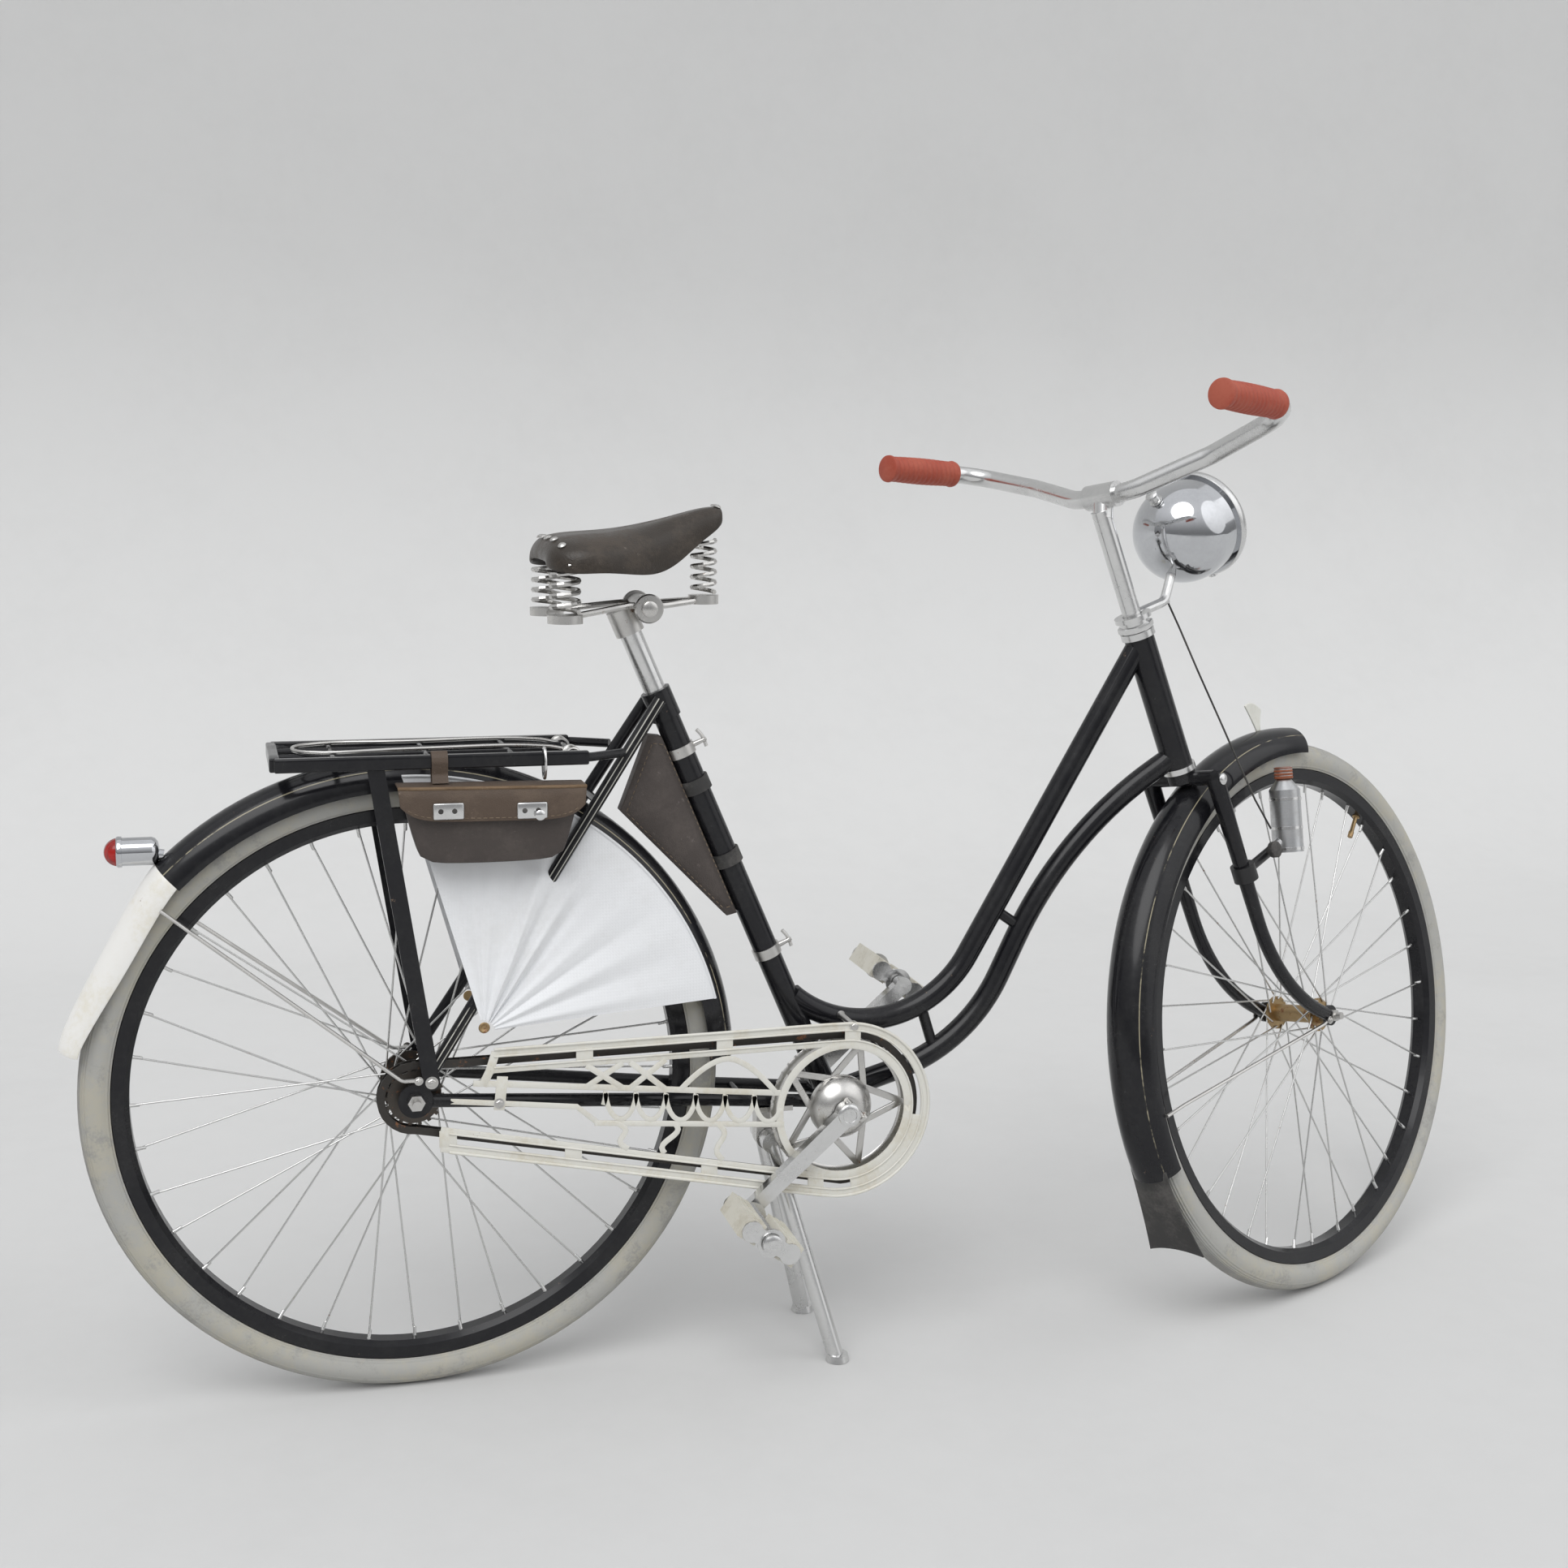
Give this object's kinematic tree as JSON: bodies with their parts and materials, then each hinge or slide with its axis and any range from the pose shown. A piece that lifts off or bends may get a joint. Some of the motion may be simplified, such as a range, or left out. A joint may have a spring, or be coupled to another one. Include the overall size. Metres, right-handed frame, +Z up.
{
  "type": "step_through_bicycle",
  "caption": "Step-through roadster bicycle on a centre stand, with mudguards, luggage rack, open chain guard, cloth skirt guards, dynamo lamp and sprung leather saddle.",
  "frame": {"origin": "on the floor, on the bicycle's mid-plane, straight under the rear axle", "axes": "+X forward, +Y to the rider's left, +Z up; the handlebar stands turned to the left"},
  "size_m": [1.8241, 0.5082, 1.1323],
  "materials": {
    "black_enamel": "glossy, worn",
    "bright_steel": "plated, slightly dull",
    "cream_paint": "satin",
    "white_paint": "gloss",
    "dull_alloy": "satin",
    "old_brass": "tarnished",
    "brown_leather": "worn",
    "dark_leather": "polished",
    "white_cloth": "matt",
    "grey_tyre": "matt",
    "cream_rubber": "matt",
    "red_rubber": "worn",
    "dark_rubber": "matt",
    "chain_steel": "oily",
    "red_glass": "clear",
    "clear_glass": "clear",
    "pale_plastic": "translucent"
  },
  "bodies": {
    "frame": {"head_tube": "black_enamel", "headset_cups": "bright_steel", "upper_tube": "black_enamel", "lower_tube": "black_enamel", "frame_struts": "black_enamel", "seat_tube": "black_enamel", "bottom_bracket_shell": "black_enamel", "chain_stays": "black_enamel", "seat_stays": "black_enamel", "rear_axle": "bright_steel", "rear_mudguard": "black_enamel", "mudguard_tail": "white_paint", "rear_mudguard_stays": "bright_steel", "tail_lamp": "bright_steel", "tail_lamp_lens": "red_glass", "rear_rack": "black_enamel", "rack_struts": "black_enamel", "skirt_guard_right": "white_cloth", "skirt_guard_left": "white_cloth", "tool_bag": "brown_leather", "frame_bag": "brown_leather", "seat_post": "bright_steel", "saddle_frame": "bright_steel", "saddle_springs": "bright_steel", "saddle_leather": "dark_leather", "chain_guard": "cream_paint", "chain": "chain_steel", "stand_bracket": "bright_steel"},
    "stand": {"centre_stand": "bright_steel"},
    "crank": {"crank_axle": "bright_steel", "chainring": "bright_steel", "crank_right": "bright_steel", "crank_left": "bright_steel"},
    "pedal_right": {"pedal_right": "bright_steel", "pedal_right_rubbers": "cream_rubber"},
    "pedal_left": {"pedal_left": "bright_steel", "pedal_left_rubbers": "cream_rubber"},
    "rear_wheel": {"rear_tyre": "grey_tyre", "rear_rim": "black_enamel", "rear_spokes": "bright_steel", "rear_hub": "bright_steel"},
    "steering": {"fork": "black_enamel", "stem": "bright_steel", "handlebar": "bright_steel", "grips": "red_rubber", "headlamp": "bright_steel", "headlamp_lens": "clear_glass", "headlamp_bracket": "bright_steel", "dynamo": "dull_alloy", "lamp_wire": "dark_rubber", "front_mudguard": "black_enamel", "mud_flap": "dark_rubber", "front_mudguard_stays": "bright_steel", "mudguard_fin": "pale_plastic", "front_axle": "bright_steel"},
    "front_wheel": {"front_tyre": "grey_tyre", "front_rim": "black_enamel", "front_spokes": "bright_steel", "front_hub": "old_brass"}
  },
  "joints": [
    {"name": "steering", "type": "hinge", "parent": "frame", "child": "steering", "pos_m": [1.06449, 0, 0.3189], "axis": [-0.3535, 0, 0.9354], "range_deg": [-98, 42]},
    {"name": "front_wheel", "type": "hinge", "parent": "steering", "child": "front_wheel", "pos_m": [1.13469, 0.03991, 0.34542], "axis": [-0.4392, 0.8829, -0.1659], "continuous": true},
    {"name": "rear_wheel", "type": "hinge", "parent": "frame", "child": "rear_wheel", "pos_m": [0, 0, 0.35], "axis": [0, 1, 0], "continuous": true},
    {"name": "crank", "type": "hinge", "parent": "frame", "child": "crank", "pos_m": [0.488, 0, 0.301], "axis": [0, 1, 0], "continuous": true},
    {"name": "pedal_right", "type": "hinge", "parent": "crank", "child": "pedal_right", "pos_m": [0.37058, 0, 0.19528], "axis": [0, 1, 0], "continuous": true},
    {"name": "pedal_left", "type": "hinge", "parent": "crank", "child": "pedal_left", "pos_m": [0.60542, 0, 0.40672], "axis": [0, 1, 0], "continuous": true},
    {"name": "stand", "type": "hinge", "parent": "frame", "child": "stand", "pos_m": [0.412, 0, 0.256], "axis": [0, 1, 0], "range_deg": [0, 84]}
  ]
}
